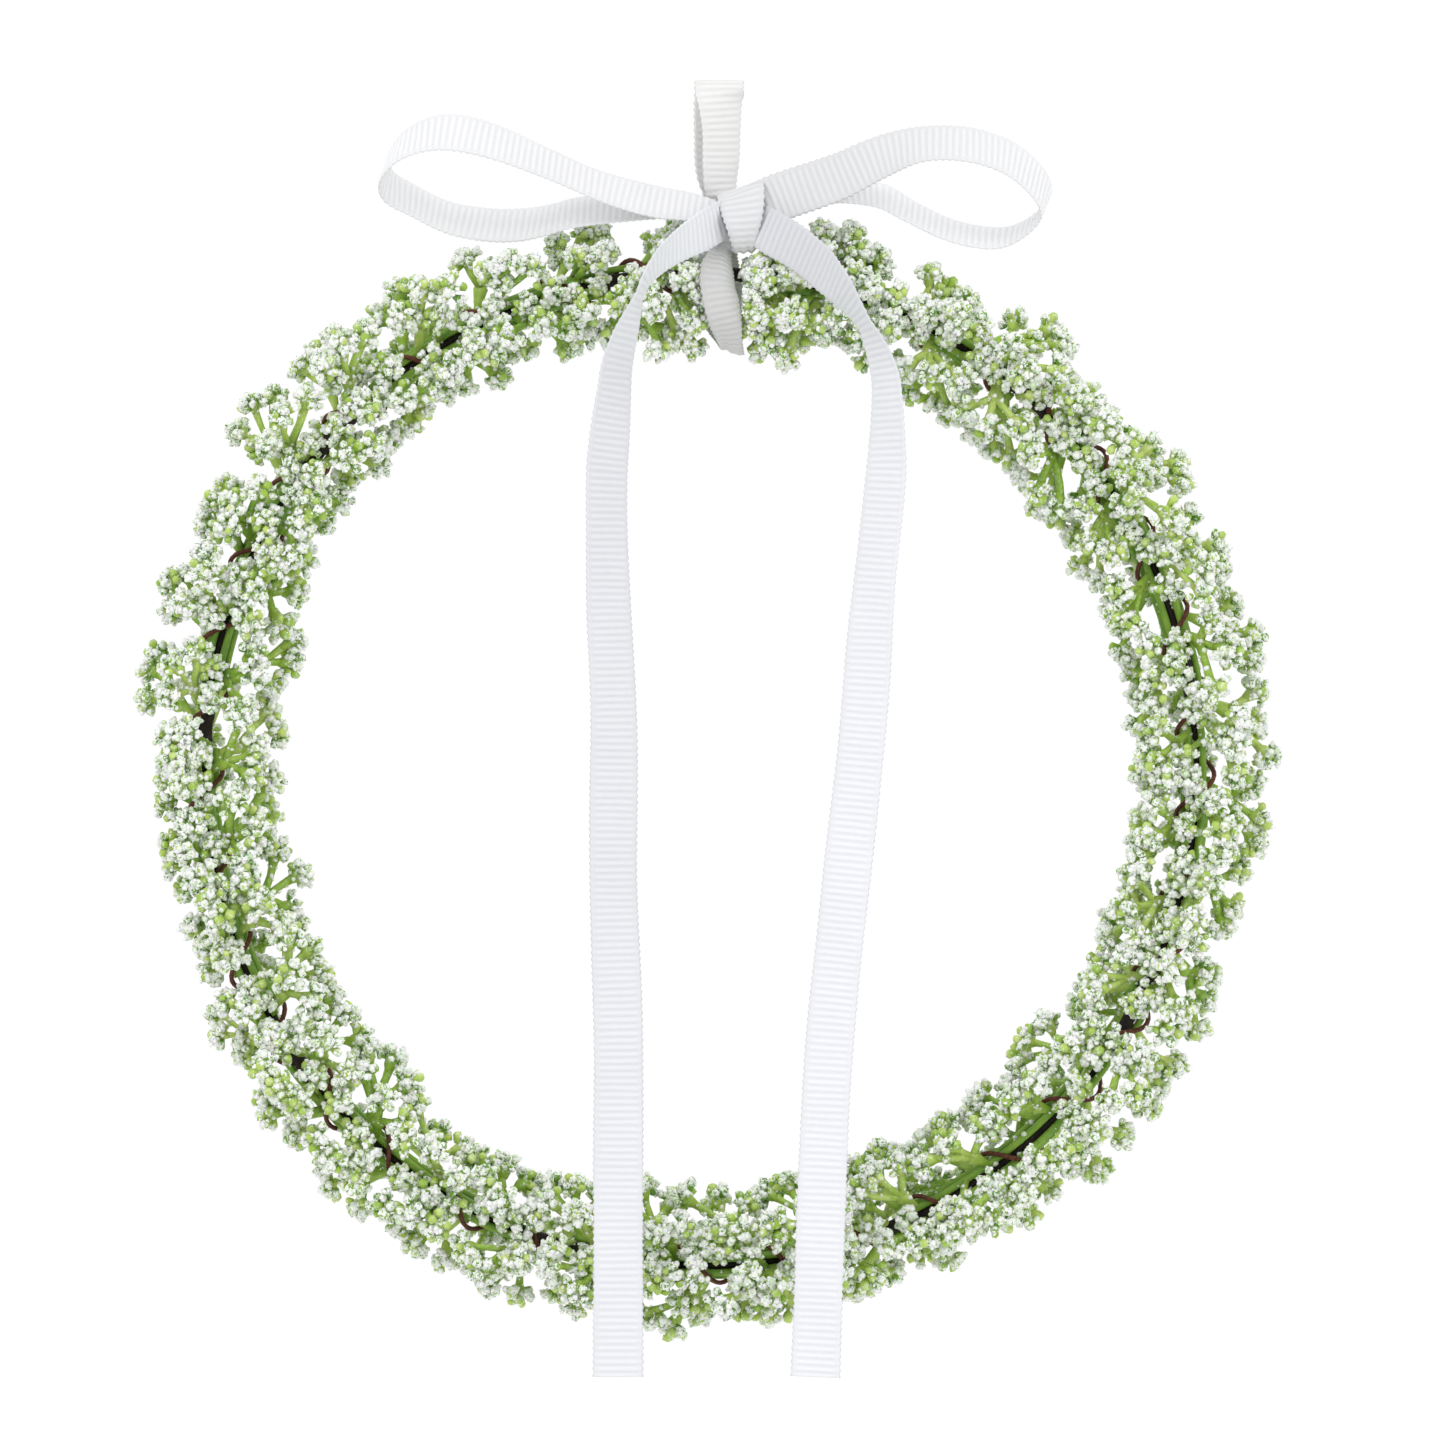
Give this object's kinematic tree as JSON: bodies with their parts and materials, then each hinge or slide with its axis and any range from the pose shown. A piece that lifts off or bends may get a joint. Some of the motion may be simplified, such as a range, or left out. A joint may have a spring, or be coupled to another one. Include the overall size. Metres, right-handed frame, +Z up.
{
  "type": "flower crown",
  "caption": "Round hair wreath of frosted green flower sprigs bound to a taped wire ring, hung from a white ribbon loop and tied with a bow and two long tails.",
  "frame": {"origin": "top of the hanger's loop, where it rests on what it hangs from", "axes": "+Z up; the ring stands in the XZ plane; -Y is the front, where the tails hang; +X to the right seen from the front"},
  "size_m": [0.2452, 0.0519, 0.272],
  "materials": {
    "steel_wire": "drawn steel wire, dull",
    "floral_tape": "dark brown crepe floral tape, slightly waxy, spiral wrapped",
    "paper_wire": "red-brown paper covered binding wire, matt",
    "sprig_plastic": "lime to mid green soft plastic, satin, with white frost beads glued on",
    "ribbon": "white grosgrain ribbon, cross ribbed, matt with a soft sheen"
  },
  "bodies": {
    "hanger": {"hanger_ribbon": "ribbon"},
    "crown": {"ring_wire": "steel_wire", "floral_tape": "floral_tape", "binding_wire": "paper_wire", "sprig_01": "sprig_plastic", "sprig_02": "sprig_plastic", "sprig_03": "sprig_plastic", "sprig_04": "sprig_plastic", "sprig_05": "sprig_plastic", "sprig_06": "sprig_plastic", "sprig_07": "sprig_plastic", "sprig_08": "sprig_plastic", "sprig_09": "sprig_plastic", "sprig_10": "sprig_plastic", "sprig_11": "sprig_plastic", "sprig_12": "sprig_plastic", "sprig_13": "sprig_plastic", "sprig_14": "sprig_plastic", "sprig_15": "sprig_plastic", "sprig_16": "sprig_plastic", "sprig_17": "sprig_plastic", "sprig_18": "sprig_plastic", "sprig_19": "sprig_plastic", "sprig_20": "sprig_plastic", "sprig_21": "sprig_plastic", "sprig_22": "sprig_plastic", "sprig_23": "sprig_plastic", "sprig_24": "sprig_plastic", "sprig_25": "sprig_plastic", "sprig_26": "sprig_plastic", "sprig_27": "sprig_plastic", "sprig_28": "sprig_plastic", "sprig_29": "sprig_plastic", "sprig_30": "sprig_plastic", "sprig_31": "sprig_plastic", "sprig_32": "sprig_plastic", "sprig_33": "sprig_plastic", "sprig_34": "sprig_plastic", "sprig_35": "sprig_plastic", "sprig_36": "sprig_plastic", "sprig_37": "sprig_plastic", "sprig_38": "sprig_plastic", "sprig_39": "sprig_plastic", "sprig_40": "sprig_plastic", "sprig_41": "sprig_plastic", "sprig_42": "sprig_plastic", "sprig_43": "sprig_plastic", "sprig_44": "sprig_plastic", "sprig_45": "sprig_plastic", "sling_ribbon": "ribbon", "bow_knot": "ribbon", "tail_left_drape": "ribbon", "tail_right_drape": "ribbon"},
    "left_loop": {"bow_loop_left": "ribbon"},
    "right_loop": {"bow_loop_right": "ribbon"},
    "left_tail": {"tail_left": "ribbon"},
    "right_tail": {"tail_right": "ribbon"}
  },
  "joints": [
    {"name": "crown_swing", "type": "hinge", "parent": "hanger", "child": "crown", "pos_m": [0, 0, -0.02232], "axis": [1, 0, 0], "range_deg": [-30, 30]},
    {"name": "left_loop_lift", "type": "hinge", "parent": "crown", "child": "left_loop", "pos_m": [-0.00545, -0.005, -0.0236], "axis": [0, 1, 0], "range_deg": [0, 30]},
    {"name": "right_loop_lift", "type": "hinge", "parent": "crown", "child": "right_loop", "pos_m": [0.01045, -0.005, -0.0215], "axis": [0, -1, 0], "range_deg": [0, 30]},
    {"name": "left_tail_swing", "type": "hinge", "parent": "crown", "child": "left_tail", "pos_m": [-0.022, -0.0268, -0.06625], "axis": [-1, 0, 0], "range_deg": [0, 75]},
    {"name": "right_tail_swing", "type": "hinge", "parent": "crown", "child": "right_tail", "pos_m": [0.035, -0.02725, -0.06625], "axis": [-1, 0, 0], "range_deg": [0, 75]}
  ]
}
